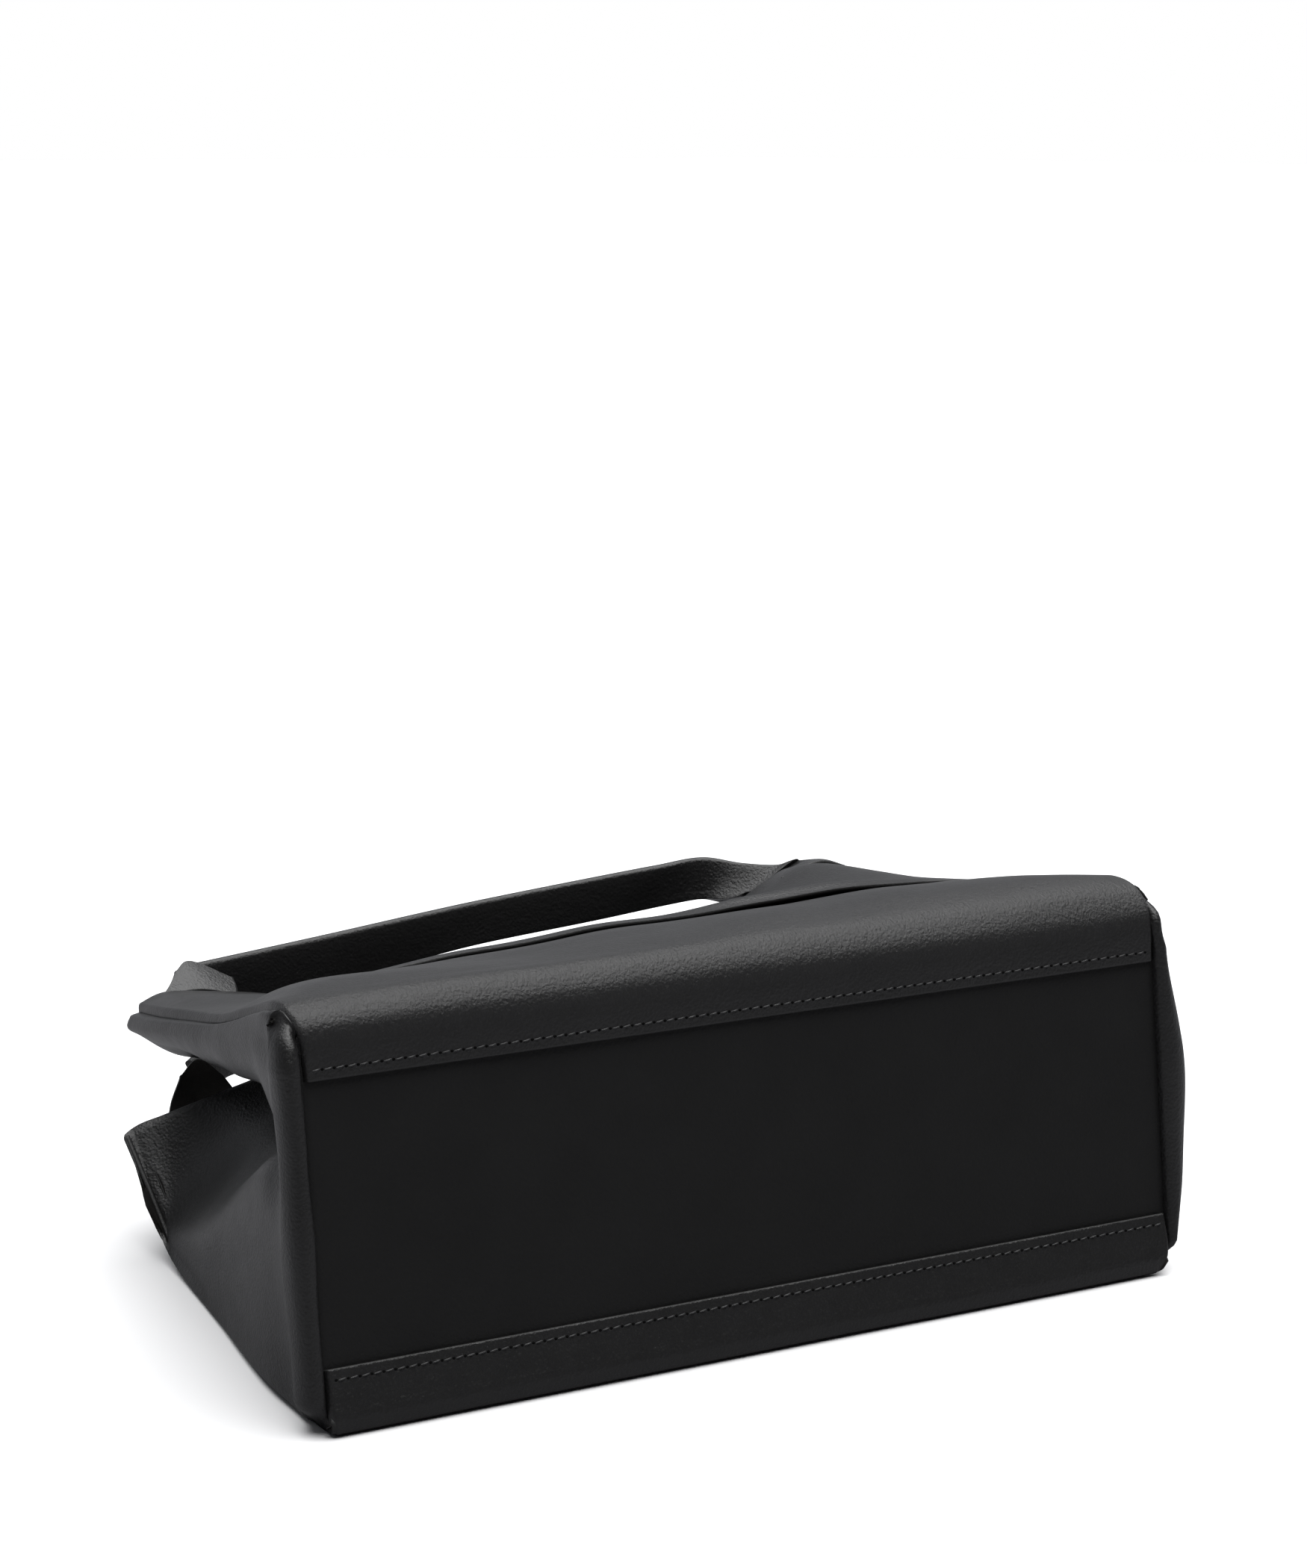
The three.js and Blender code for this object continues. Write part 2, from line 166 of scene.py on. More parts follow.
class Finish(Nodes):
    """A material built round one shader."""

    def __init__(self, name, **constants):
        self.material = bpy.data.materials.new(name)
        self.material.use_nodes = True
        super().__init__(self.material.node_tree)
        self.shader = self.tree.nodes["Principled BSDF"]
        for socket, value in constants.items():
            self.shader.inputs[socket.replace("_", " ")].default_value = value

    def place(self):
        return self.node("ShaderNodeTexCoord", output="Object")

    def mix(self, factor, low, high):
        settings = {"data_type": "RGBA"}
        return self.node("ShaderNodeMix", settings, {0: factor, 6: low, 7: high}, output=2)

    def noise(self, scale, detail=3.0, roughness=0.55):
        inputs = {"Vector": self.place(), "Scale": scale, "Detail": detail, "Roughness": roughness}
        return self.node("ShaderNodeTexNoise", None, inputs)

    def bump(self, height, distance, below=None):
        inputs = {"Height": height, "Distance": distance, "Strength": 1.0}
        if below is not None:
            inputs["Normal"] = below
        return self.node("ShaderNodeBump", None, inputs)


GRAIN_SCALE = 900.0
PORE_SCALE = 2600.0
CREASE_SCALE = 680.0
CREASE_DEPTH = 0.9 * MM
CREASE_ALWAYS = 0.15
CREASE_BENT = 0.85


def leather_finish(name, dark, light, gloss, rough, grain, wrinkle):
    """Tanned leather: cells of grain, fine pores, and creases where the piece is marked bent."""
    finish = Finish(name, Specular_IOR_Level=gloss)
    mottle = finish.noise(38.0, 4.0)
    finish.feed(finish.shader.inputs["Base Color"], finish.mix(mottle, dark, light))
    cell_inputs = {"Vector": finish.place(), "Scale": GRAIN_SCALE, "Randomness": 1.0}
    cells = finish.node("ShaderNodeTexVoronoi", {"feature": "SMOOTH_F1"}, cell_inputs)
    pores = finish.noise(PORE_SCALE, 2.0)
    along = {0: finish.place(), 1: (1.0, 0.7, 0.8)}
    stretched = finish.node("ShaderNodeVectorMath", {"operation": "MULTIPLY"}, along)
    crease_inputs = {"Vector": stretched, "Scale": CREASE_SCALE, "Detail": 5.0,
                     "Roughness": 0.68}
    creases = finish.node("ShaderNodeTexNoise", None, crease_inputs)
    bent = finish.node("ShaderNodeAttribute", {"attribute_name": "bent"}, output="Fac")
    shade = finish.noise(90.0, 3.0)
    finish.feed(finish.shader.inputs["Roughness"], shade * 0.1 + (rough - 0.05))
    soft = finish.bump(finish.noise(55.0, 2.0), wrinkle * MM)
    creased = finish.bump(creases * (bent * CREASE_BENT + CREASE_ALWAYS), CREASE_DEPTH, soft)
    grained = finish.bump(cells + pores * 0.35, grain * MM, creased)
    finish.feed(finish.shader.inputs["Normal"], grained)
    return finish.material


def through(points, ts):
    """The points of a smooth curve through given points, or through given rows of points."""
    points = np.asarray(points, float)
    count = len(points)
    before = 2 * points[0] - points[1]
    after = 2 * points[-1] - points[-2]
    padded = np.concatenate([[before], points, [after]])
    spot = np.asarray(ts, float) * (count - 1)
    low = np.clip(spot.astype(int), 0, count - 2)
    step = (spot - low).reshape(-1, *[1] * (points.ndim - 1))
    a, b, c, d = (padded[low + k] for k in range(4))

    def span(p, q):
        return np.sqrt(np.maximum(np.linalg.norm(q - p, axis=-1, keepdims=True), 1e-7))

    ab, bc, cd = span(a, b), span(b, c), span(c, d)
    start = ((b - a) / ab - (c - a) / (ab + bc) + (c - b) / bc) * bc
    end = ((c - b) / bc - (d - b) / (bc + cd) + (d - c) / cd) * bc
    square = 3 * (c - b) - 2 * start - end
    cube = 2 * (b - c) + start + end
    return b + step * (start + step * (square + step * cube))


def loft(rows, us, vs):
    """A grid of points on the surface through rows of points, given in millimetres."""
    crossings = np.stack([through(row, vs) for row in rows])
    return through(crossings * MM, us)


def normals(grid):
    """The outward unit normal at each point of a grid."""
    across = np.cross(np.gradient(grid, axis=1), np.gradient(grid, axis=0))
    return across / np.maximum(np.linalg.norm(across, axis=-1, keepdims=True), 1e-12)


def raised(grid, height):
    """The grid moved out along its normals by a height at each point."""
    return grid + normals(grid) * np.broadcast_to(height, grid.shape[:2])[..., None]


def ripple(grid, size, seed=0.0):
    """A smooth random value from -1 to 1 at each point of a grid, changing over a given size."""
    flat = [noise.noise(Vector(p) / size + Vector((seed, seed, seed))) for p in grid.reshape(-1, 3)]
    return np.array(flat).reshape(grid.shape[:2])


def ease(values, start, end):
    """0 before start, 1 after end, smooth between them."""
    t = np.clip((np.asarray(values, float) - start) / (end - start), 0, 1)
    return t * t * (3 - 2 * t)


def new_piece(name, points, faces, materials, slots=None, bent=None):
    """A mesh of given points and faces, with each face's material and each point's bend."""
    mesh = bpy.data.meshes.new(name)
    mesh.from_pydata(points, [], faces)
    if bent is not None:
        marks = mesh.attributes.new("bent", "FLOAT", "POINT")
        marks.data.foreach_set("value", bent.astype(np.float32))
    for material in materials:
        mesh.materials.append(material)
    if slots is not None:
        mesh.polygons.foreach_set("material_index", slots)
    piece = bpy.data.objects.new(name, mesh)
    scene.collection.objects.link(piece)
    return piece


def make_sheet(name, grid, thickness, materials, bent=None, open_faces=None, edge=0.35 * MM):
    """A leather piece from its outer surface: solid, with a rounded cut edge and a flesh side."""
    rows, columns = grid.shape[:2]
    kept = np.ones((rows - 1, columns - 1), bool) if open_faces is None else ~open_faces
    corners = (np.arange(rows - 1)[:, None] * columns + np.arange(columns - 1))[kept]
    outer = np.stack([corners, corners + 1, corners + columns + 1, corners + columns], axis=1)
    sides = np.concatenate([outer[:, [k, (k + 1) % 4]] for k in range(4)])
    owners = np.concatenate([outer] * 4)
    used = set(map(tuple, sides.tolist()))
    rim = np.array([(b, a) not in used for a, b in sides.tolist()])
    sides, owners = sides[rim], owners[rim]
    up = normals(grid).reshape(-1, 3)
    skin = grid.reshape(-1, 3)
    away = np.zeros_like(skin)
    leaving = skin[sides].mean(axis=1) - skin[owners].mean(axis=1)
    for k in (0, 1):
        np.add.at(away, sides[:, k], leaving)
    away -= (away * up).sum(axis=1, keepdims=True) * up
    away /= np.maximum(np.linalg.norm(away, axis=1, keepdims=True), 1e-12)
    count = len(skin)
    layers = [skin, skin + away * edge - up * edge,
              skin + away * edge - up * (thickness - edge), skin - up * thickness]
    faces = outer.tolist() + (outer[:, ::-1] + 3 * count).tolist()
    for level in range(3):
        near, far = level * count, (level + 1) * count
        faces += np.stack([sides[:, 1] + near, sides[:, 0] + near, sides[:, 0] + far,
                           sides[:, 1] + far], axis=1).tolist()
    bend = np.zeros(count) if bent is None else np.asarray(bent, float).ravel()
    slots = [0] * len(outer) + [2] * len(outer) + [1] * 3 * len(sides)
    slots = np.minimum(slots, len(materials) - 1)
    piece = new_piece(name, np.concatenate(layers).tolist(), faces, materials, slots,
                      np.tile(bend, 4))
    drop_loose_points(piece.data)
    smooth(piece, 50)
    return piece


def drop_loose_points(mesh):
    """Takes out the points that an open slot leaves without a face."""
    shape = bmesh.new()
    shape.from_mesh(mesh)
    bmesh.ops.delete(shape, geom=[v for v in shape.verts if not v.link_faces], context="VERTS")
    shape.to_mesh(mesh)
    shape.free()


def smooth(piece, degrees):
    """Smooth shading, with edges sharper than an angle kept crisp."""
    mesh = piece.data
    mesh.polygons.foreach_set("use_smooth", [True] * len(mesh.polygons))
    mesh.set_sharp_from_angle(angle=math.radians(degrees))
    mesh.update()


def base_point(x, height, depth=0.0):
    """A point on the outer plane of the base, at a height up its lean and a depth behind it."""
    y = BASE_Y + height * math.sin(LEAN) + depth * math.cos(LEAN)
    return (x, y, height * math.cos(LEAN) - depth * math.sin(LEAN))


panel_leather = leather_finish(
    "panel_leather", dark=(0.0075, 0.0074, 0.0077, 1), light=(0.012, 0.0118, 0.012, 1),
    gloss=0.5, rough=0.38, grain=0.18, wrinkle=0.35)
base_leather = leather_finish(
    "base_leather", dark=(0.0045, 0.0045, 0.0046, 1), light=(0.0095, 0.0095, 0.0096, 1),
    gloss=0.28, rough=0.58, grain=0.1, wrinkle=0.1)
flesh_side = Finish("flesh_side", Specular_IOR_Level=0.2, Roughness=0.95)
flesh_side.feed(flesh_side.shader.inputs["Base Color"],
                flesh_side.mix(flesh_side.noise(160.0, 5.0), (0.008, 0.0075, 0.007, 1),
                               (0.02, 0.018, 0.017, 1)))
flesh_side.feed(flesh_side.shader.inputs["Normal"],
                flesh_side.bump(flesh_side.noise(1400.0, 4.0, 0.8), 0.5 * MM))
edge_paint = Finish("edge_paint", Base_Color=(0.014, 0.014, 0.014, 1), Specular_IOR_Level=0.5)
edge_paint.feed(edge_paint.shader.inputs["Roughness"], edge_paint.noise(300.0) * 0.3 + 0.4)
edge_paint.feed(edge_paint.shader.inputs["Normal"],
                edge_paint.bump(edge_paint.noise(900.0, 3.0), 0.25 * MM))
SKIN = [panel_leather, edge_paint.material, flesh_side.material]
MATTE_SKIN = [base_leather, edge_paint.material, flesh_side.material]

BASE_LOW = 7 * MM
BASE_HIGH = 141 * MM
BASE_DEPTH = LEATHER + GAP
END_LEFT = -187.5 * MM
END_RIGHT = 191 * MM


def base_layer(name, margin, depth, thickness, materials, sag):
    """A flat layer of the base, bowed a very little, as a leather-covered board is."""
    low, high = BASE_LOW + margin, BASE_HIGH - margin
    heights = np.linspace(low, high, 60)
    lengths = np.linspace(END_LEFT + margin, END_RIGHT - margin, 140)
    grid = np.array([[base_point(x, h, depth) for x in lengths] for h in heights])
    bow = sag * ripple(grid, 90 * MM)
    return make_sheet(name, raised(grid, bow), thickness, materials)


base_panel = base_layer("base_leather_panel", 0, BASE_DEPTH, LEATHER, MATTE_SKIN, 0.35 * MM)
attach(base_panel, "shell")
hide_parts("base_panel")

# ------------------------------------------------------------------ base board and cover
# A stiff board of pressed leather fibre behind the base panel, covered on the inside of the bag
# by a thin leather cover with its flesh side up.

BOARD = 2.5 * MM
fibre = Finish("fibre_board", Roughness=0.9)
fibre.feed(fibre.shader.inputs["Base Color"],
           fibre.mix(fibre.noise(220.0, 6.0), (0.1, 0.07, 0.045, 1), (0.2, 0.15, 0.1, 1)))
board_depth = BASE_DEPTH + LEATHER + GAP
base_board = base_layer("base_fibre_board", 3 * MM, board_depth, BOARD, [fibre.material], 0)
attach(base_board, "shell")
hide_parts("base_board")

INSIDE_SKIN = [flesh_side.material, edge_paint.material, flesh_side.material]
cover_depth = board_depth + BOARD + GAP
base_cover = base_layer("base_inside_cover", 4 * MM, cover_depth, THIN_LEATHER, INSIDE_SKIN, 0)
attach(base_cover, "shell")
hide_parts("base_cover")

# ------------------------------------------------------------------ back panel
# One smooth leather panel that the bag lies on. Its near edge wraps round the base as a 25 mm
# lap, stitched down in one row, and its far edge curls up to the mouth and its two shoulders.

# Each of BACK_ROWS is a y, a z, and the x of the row's two ends, in millimetres. The three rows
# after them, at the far edge, are given point by point from left to right.
STATIONS = [0, 0.1, 0.3, 0.5, 0.7, 0.9, 1]
BACK_ROWS = [(-102.6, 6.5, -187, 189), (-101.4, 1.6, -186.5, 185.5), (-96, 0, -186, 183),
             (-80, 0, -186.5, 184.5), (-30, 0, -184, 186), (20, 0, -178, 183), (70, 0, -173, 178)]
BACK_BEND = [(-171, 103, 5), (-140, 102, 4), (-72, 104, 3), (0, 106, 2.5), (72, 104, 3),
             (142, 102, 4), (175, 103, 5)]
BACK_LIP = [(-173, 128, 27), (-140, 128, 25), (-70, 124, 17), (0, 121, 12), (70, 124, 17),
            (142, 128, 25), (172, 128, 27)]
BACK_MOUTH = [(-175, 147, 44), (-140, 152, 47), (-70, 145, 36), (0, 138, 28), (70, 145, 36),
              (142, 152, 46), (171, 149, 46)]


def lap_row(stations, height, bulge):
    """A row of a lap along the base, at a height up it, bulged out from it, in millimetres."""
    return [[c / MM for c in base_point(END_LEFT + f * (END_RIGHT - END_LEFT), height, -bulge)]
            for f in stations]


def finer(*spans):
    """Steps in several spans, each given as its end and its number of steps, from 0."""
    steps = [0.0]
    for end, count in spans:
        steps += list(np.linspace(steps[-1], end, count + 1)[1:])
    return np.array(steps)


def end_distances(grid):
    """How far each point of a grid is from its row's two ends, along the leather."""
    pieces = np.linalg.norm(np.diff(grid, axis=1), axis=2)
    run = np.concatenate([np.zeros((len(grid), 1)), np.cumsum(pieces, axis=1)], axis=1)
    return run, run[:, -1:] - run


# How far a panel's end turns down into its seam, over what width, and how sharply.
SEAM_TUCK = 3.4 * MM
SEAM_WIDTH = 2.4 * MM
SEAM_ROLL = 2.4


def tucked_ends(grid, depth=SEAM_TUCK, width=SEAM_WIDTH):
    """A piece whose two ends roll down into the turned seams, by a depth for each row."""
    left, right = end_distances(grid)
    nearest = np.minimum(left, right)
    return raised(grid, -depth * np.clip(1 - nearest / width, 0, 1) ** SEAM_ROLL)


LAP_BULGE = 2.4 * MM
back_rows = [lap_row(STATIONS, LAP, 0), lap_row(STATIONS, LAP / 2, LAP_BULGE)]
back_rows += [[(low + (high - low) * f, y, z) for f in STATIONS] for y, z, low, high in BACK_ROWS]
back_rows += [BACK_BEND, BACK_LIP, BACK_MOUTH]
BACK_U = finer((0.09, 20), (0.36, 44), (0.72, 30), (1, 50))
ACROSS = finer((0.012, 8), (0.04, 6), (0.96, 140), (0.988, 6), (1, 8))
back_flat = loft([row[::-1] for row in back_rows], BACK_U, ACROSS)
back_grid = tucked_ends(back_flat)
back_curl = ease(back_grid[..., 1], 90 * MM, 150 * MM)
back_grid = raised(back_grid, (0.3 + 1.5 * back_curl) * MM * ripple(back_grid, 60 * MM, 3))
back_grid[..., 2] = np.maximum(back_grid[..., 2], 0.05 * MM)
back_panel = make_sheet("back_leather_panel", back_grid, LEATHER, SKIN)
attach(back_panel, "shell")
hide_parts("back_panel")

BACK_SHOULDER = [
    [(154, 150, 46.5), (137, 151, 46.8), (116, 152, 45.8)],
    [(149, 158, 55), (136, 160, 58), (120, 159, 55)],
    [(143, 163, 64), (134, 166, 69.5), (124, 162, 62.5)],
]
for side, sign in (("left", -1), ("right", 1)):
    rows = [[(sign * x, y, z) for x, y, z in (row if sign > 0 else row[::-1])]
            for row in BACK_SHOULDER]
    shoulder = loft(rows, finer((1, 24)), finer((1, 24)))
    shoulder = raised(shoulder, 0.8 * MM * ripple(shoulder, 18 * MM, 5))
    tab = make_sheet(f"back_shoulder_{side}", shoulder, LEATHER, SKIN)
    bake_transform(tab)
    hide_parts("back_panel")

# ------------------------------------------------------------------ front panel
# The upper wall of the bag as it lies. Its near edge laps the base like the back panel's, it
# slopes away to the mouth with soft dents, and a straight raw-edged slot crosses it.

# Each of FRONT_ROWS is a y, the x of the row's two ends, and a height at each station, in
# millimetres. The neck and the mouth are given point by point from left to right.
FRONT_STATIONS = [0, 0.05, 0.155, 0.29, 0.45, 0.61, 0.77, 0.9, 1]
FRONT_ROWS = [
    (-80, -188.5, 191, (150, 150.5, 151, 151, 151, 151, 151, 151, 151)),
    (-72, -190, 190.5, (155, 156, 157.5, 157.5, 158, 158.5, 159, 160, 159)),
    (-60, -190, 189.5, (154.5, 156, 157.5, 157, 158.5, 160.5, 162, 163, 161)),
    (-40, -187, 187, (149, 153.7, 155.3, 154.5, 157, 160, 161, 161, 156)),
    (-7, -182, 185, (138, 145, 146, 149, 151.6, 153.2, 154.4, 153.4, 146)),
    (30, -177, 183, (127, 130, 131, 131, 133, 140, 143, 147, 140)),
    (70, -172, 180, (118, 119, 119, 116, 117, 124, 134, 142.5, 133)),
]
FRONT_NECK = [(-169, 112, 109), (-153, 114, 112), (-122, 112, 109.5), (-82, 102, 105),
              (-23, 94, 107), (39, 93, 112), (96, 97, 124), (140, 105, 140), (175, 110, 127)]
FRONT_MOUTH = [(-163, 161, 99), (-150, 161, 103.5), (-121, 158, 100.5), (-80, 134, 98),
               (-22, 121, 99), (38, 117, 103), (94, 122, 114), (139, 126, 134), (170, 152, 117)]
# The slot: half its length, the two steps between which it is cut, and how far its lips stand
# up, in millimetres. The far lip stands higher on the right. Its height falls off at its edge.
SLOT_HALF = 145 * MM
SLOT_LOW, SLOT_HIGH = 0.598, 0.606
SLOT_FULL = 1.25
NEAR_LIP = 0.6
FAR_LIP = 3.4
FAR_LIP_MORE = 2.0
EDGE_SHARE = 0.34
FOLD_TUCK_LESS = 1.6
FLAT_BENT = 0.15
FOLD_BENT = 0.5

front_rows = [lap_row(FRONT_STATIONS, DEPTH - LAP, 0), lap_row(FRONT_STATIONS, DEPTH - LAP / 2, 0)]
front_rows += [[(low + (high - low) * f, y, z) for f, z in zip(FRONT_STATIONS, heights)]
               for y, low, high, heights in FRONT_ROWS]
front_rows += [FRONT_NECK, FRONT_MOUTH]
FRONT_U = finer((0.1, 20), (0.4, 60), (0.585, 26), (SLOT_LOW, 6), (SLOT_HIGH, 1), (0.635, 9),
                (1, 60))
front_grid = loft(front_rows, FRONT_U, ACROSS)
on_fold = ease(FRONT_U, 0, 0.08) * (1 - ease(FRONT_U, 0.3, 0.4))
front_grid = tucked_ends(front_grid, SEAM_TUCK - FOLD_TUCK_LESS * MM * on_fold[:, None])
u_map = np.broadcast_to(FRONT_U[:, None], front_grid.shape[:2])
top_side = ease(u_map, 0.25, 0.45)
front_grid = raised(front_grid, (0.25 + 1.1 * top_side) * MM * ripple(front_grid, 48 * MM, 1))
slot_share = np.clip(SLOT_FULL - SLOT_FULL * abs(front_grid[..., 0] / SLOT_HALF) ** 3, 0, 1)
near_lip = ease(u_map, SLOT_LOW - 0.05, SLOT_LOW) * (u_map <= SLOT_LOW + 1e-6)
far_lip = (u_map >= SLOT_HIGH - 1e-6) * (1 - ease(u_map, SLOT_HIGH + 0.025, SLOT_HIGH + 0.08))
far_lip *= EDGE_SHARE + (1 - EDGE_SHARE) * ease(u_map, SLOT_HIGH - 0.003, SLOT_HIGH + 0.02)
far_height = FAR_LIP + FAR_LIP_MORE * ease(front_grid[..., 0], 0, 50 * MM)
front_grid = raised(front_grid, slot_share * (far_height * far_lip - NEAR_LIP * near_lip) * MM)
slot_row = int(np.argmin(abs(FRONT_U - SLOT_LOW)))
slot_faces = np.zeros((len(FRONT_U) - 1, len(ACROSS) - 1), bool)
column_x = (front_grid[slot_row, 1:, 0] + front_grid[slot_row, :-1, 0]) / 2
slot_faces[slot_row] = abs(column_x) < SLOT_HALF
front_bent = FLAT_BENT + FOLD_BENT * ease(u_map, 0.08, 0.2) * (1 - ease(u_map, 0.4, 0.5))
front_panel = make_sheet("front_leather_panel", front_grid, LEATHER, SKIN, front_bent, slot_faces)
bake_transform(front_panel)
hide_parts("front_panel")

FRONT_SHOULDERS = {
    "left": [
        [(-151, 158, 103), (-134, 159, 103), (-117, 159, 99)],
        [(-145.5, 164, 105.8), (-132, 166, 107), (-115.5, 164.5, 101.3)],
        [(-141, 169.5, 109.5), (-133.5, 174.5, 112), (-115, 169, 103.5)],
    ],
    "right": [
        [(124, 104, 135.5), (145, 106, 140.6), (160, 108, 136.5)],
        [(127, 124, 123), (144, 122, 136), (158, 124, 136.5)],
        [(130.7, 141, 119.5), (142, 139, 127.5), (152.3, 137, 134)],
    ],
}
for side, rows in FRONT_SHOULDERS.items():
    shoulder = loft(rows, finer((1, 40)), finer((1, 40)))
    tab = make_sheet(f"front_shoulder_{side}", shoulder, LEATHER, SKIN)
    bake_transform(tab)
    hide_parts("front_panel")

# ------------------------------------------------------------------ end gussets
# One soft leather piece closes each end. It rolls out round the turned seam beside the base,
# and its middle folds into the bag, most at the rim. The right one stays fuller.

# LEFT_GUSSET's rows go from the base to the mouth, and each row's points go down from the front
# panel's seam to the back panel's. The roll's rows stand at GUSSET_HEIGHTS up the base.
GUSSET_HEIGHTS = [149, 132, 114, 104, 92, 80, 64, 34, 5]
LEFT_GUSSET = [
    [(-189, -68, 150), (-195, -68, 130), (-194, -72, 112), (-191, -72, 104), (-189, -72, 96),
     (-191, -72, 88), (-194, -74, 66), (-193, -78, 34), (-191, -82, 4)],
    [(-187, -38, 147), (-190, -38, 132), (-186, -40, 117), (-175, -41, 109), (-168, -42, 102),
     (-174, -41, 95), (-187, -40, 82), (-190, -44, 42), (-190, -50, 3)],
    [(-181, 12, 133), (-184, 12, 120), (-177, 12, 108), (-157, 8, 103), (-146, 4, 94),
     (-158, 6, 79), (-180, 12, 56), (-183, 8, 28), (-183, 2, 2.5)],
    [(-176, 60, 121), (-178, 60, 110), (-171, 58, 101), (-145, 50, 96), (-130, 42, 86),
     (-148, 50, 64), (-175, 58, 31), (-177, 55, 16), (-176, 50, 2.5)],
    [(-172, 112, 107.5), (-173, 112, 100), (-165, 110, 93), (-135, 97, 89), (-116, 86, 80),
     (-138, 98, 58), (-164, 112, 24), (-169.5, 110, 15.5), (-172, 106, 7)],
    [(-168, 160, 97), (-169, 159, 91), (-161, 161, 85), (-145, 161, 75), (-116, 120, 76),
     (-136, 128, 66), (-159, 141, 55), (-168.5, 145.5, 51), (-176, 148, 46)],
]

# The roll beside the base: each step's way out from the base's end and its depth behind the
# base, how much fuller it is, and how that changes down its height.
ROLL_OUT = 2.5
ROLL_STEPS = ((-3.4, 4.5), (-1.6, -0.6), (2.6, -1.4), (5.4, 2.0), (6.0, 10.0))
FULLNESS = {"left": (0, 0, 0, 0, 0), "right": (0, 0.5, 4, 7.5, 8.5)}
FULL_AT_HEIGHT = (-0.1, 0, 0.35, 0.55, 0.75, 0.8, 0.7, 0.3, -0.8)
CORNER = {"left": (1.6, 0.9, 0.3, 0, 0, 0, 0, 0, 0), "right": (0,) * 9}


def roll_rows(side):
    """The gusset's near edge: down in the seam groove, out over the roll, then back."""
    sign, end = (1, END_RIGHT) if side == "right" else (-1, -END_LEFT)
    rows = []
    for (out, depth), extra in zip(ROLL_STEPS, FULLNESS[side]):
        reaches = [end + (out + ROLL_OUT + extra * share + more) * MM
                   for share, more in zip(FULL_AT_HEIGHT, CORNER[side])]
        rows.append([[c / MM for c in base_point(sign * reach, h * MM, depth * MM)]
                     for reach, h in zip(reaches, GUSSET_HEIGHTS)])
    return rows


# How the right end differs from the left, row by row and down each row.
RIGHT_LIFT = [4, 3, 6, 8, 11, 17]
RIGHT_BULGE = [7, 9, 6.4, 0, 0, 0]
BULGE_AT_HEIGHT = (0.3, 0.5, 0.6, 0.75, 0.9, 1, 1, 0.6, 0.1)
RIGHT_TAPER = 0.6
RIGHT_FOLD = 0.8


def mirrored(row, bulge, lift):
    """The right end's row: wider, with shallower folds, bulged out, its upper half lifted."""
    seam = row[0][0]
    own_seam = -190 + (seam + 190) * RIGHT_TAPER
    points = []
    for c, (x, y, z) in enumerate(row):
        out = bulge * BULGE_AT_HEIGHT[c] - own_seam - max(0, x - seam) * RIGHT_FOLD
        points.append((out, y, z + lift * max(0, 1 - c / 5)))
    return points


ROLL_PART = 0.5


def sewn(grid, column, seam, reach):
    """A grid with one end column drawn onto a seam line, easing off away from it."""
    edge = grid[:, column]
    rolled = int(np.argmin(abs(GUSSET_U - ROLL_PART)))
    ys = edge[:, 1].copy()
    ys[:rolled] = np.linspace(seam[0, 1], ys[rolled], rolled + 1)[:-1]
    target = np.stack([np.interp(ys, seam[:, 1], seam[:, k]) for k in range(3)], axis=1)
    left, right = end_distances(grid)
    share = np.clip(1 - (left if column == 0 else right) / reach, 0, 1)
    share = share * share * (3 - 2 * share)
    return grid + share[..., None] * (target - edge)[:, None, :]


GUSSET_U = finer((0.4, 48), (1, 72))
GUSSET_V = finer((0.02, 8), (0.06, 5), (0.94, 116), (0.98, 5), (1, 8))
left_rows = roll_rows("left") + LEFT_GUSSET
right_rows = roll_rows("right")
right_rows += [mirrored(*parts) for parts in zip(LEFT_GUSSET, RIGHT_BULGE, RIGHT_LIFT)]
front_from = int(np.argmin(abs(FRONT_U - 0.21)))
back_from = int(np.argmin(back_grid[:, 5, 1]))

# How far from each seam a gusset is drawn onto it, the share of the back panel's flat end in
# the seam line, the gusset's own tuck, and the swelling beside the front corner.
FRONT_REACH = 14 * MM
BACK_REACH = 8 * MM
FLAT_SHARE = 0.75
GUSSET_TUCK = 3.2 * MM
GUSSET_SEAM_WIDTH = 2.2 * MM
CORNER_HUMP = {"left": 2.2 * MM, "right": 3.6 * MM}
HUMP_AT = 10 * MM
HUMP_WIDTH = 7 * MM
sewn_rows = ease(GUSSET_U, 0.4, 0.52)[:, None]
gusset_grids = {}
for side, rows, panel_end in (("left", [row[::-1] for row in left_rows], 0),
                              ("right", right_rows, -1)):
    grid = loft(rows, GUSSET_U, GUSSET_V)
    grid = tucked_ends(grid, GUSSET_TUCK * sewn_rows, GUSSET_SEAM_WIDTH)
    grid = raised(grid, 0.9 * MM * ripple(grid, 34 * MM, 7))
    front_column, back_column = (-1, 0) if side == "left" else (0, -1)
    grid = sewn(grid, front_column, front_grid[front_from:, panel_end], FRONT_REACH)
    flat_end, tucked_end = (panel[back_from:, -1 - panel_end] for panel in (back_flat, back_grid))
    back_seam = FLAT_SHARE * flat_end + (1 - FLAT_SHARE) * tucked_end
    grid = sewn(grid, back_column, back_seam, BACK_REACH)
    from_front = end_distances(grid)[0 if front_column == 0 else 1]
    hump = np.exp(-((from_front - HUMP_AT) / HUMP_WIDTH) ** 2)
    hump *= (ease(GUSSET_U, 0.02, 0.2) * (1 - ease(GUSSET_U, 0.5, 0.7)))[:, None]
    grid = raised(grid, CORNER_HUMP[side] * hump)
    gusset_grids[side] = grid
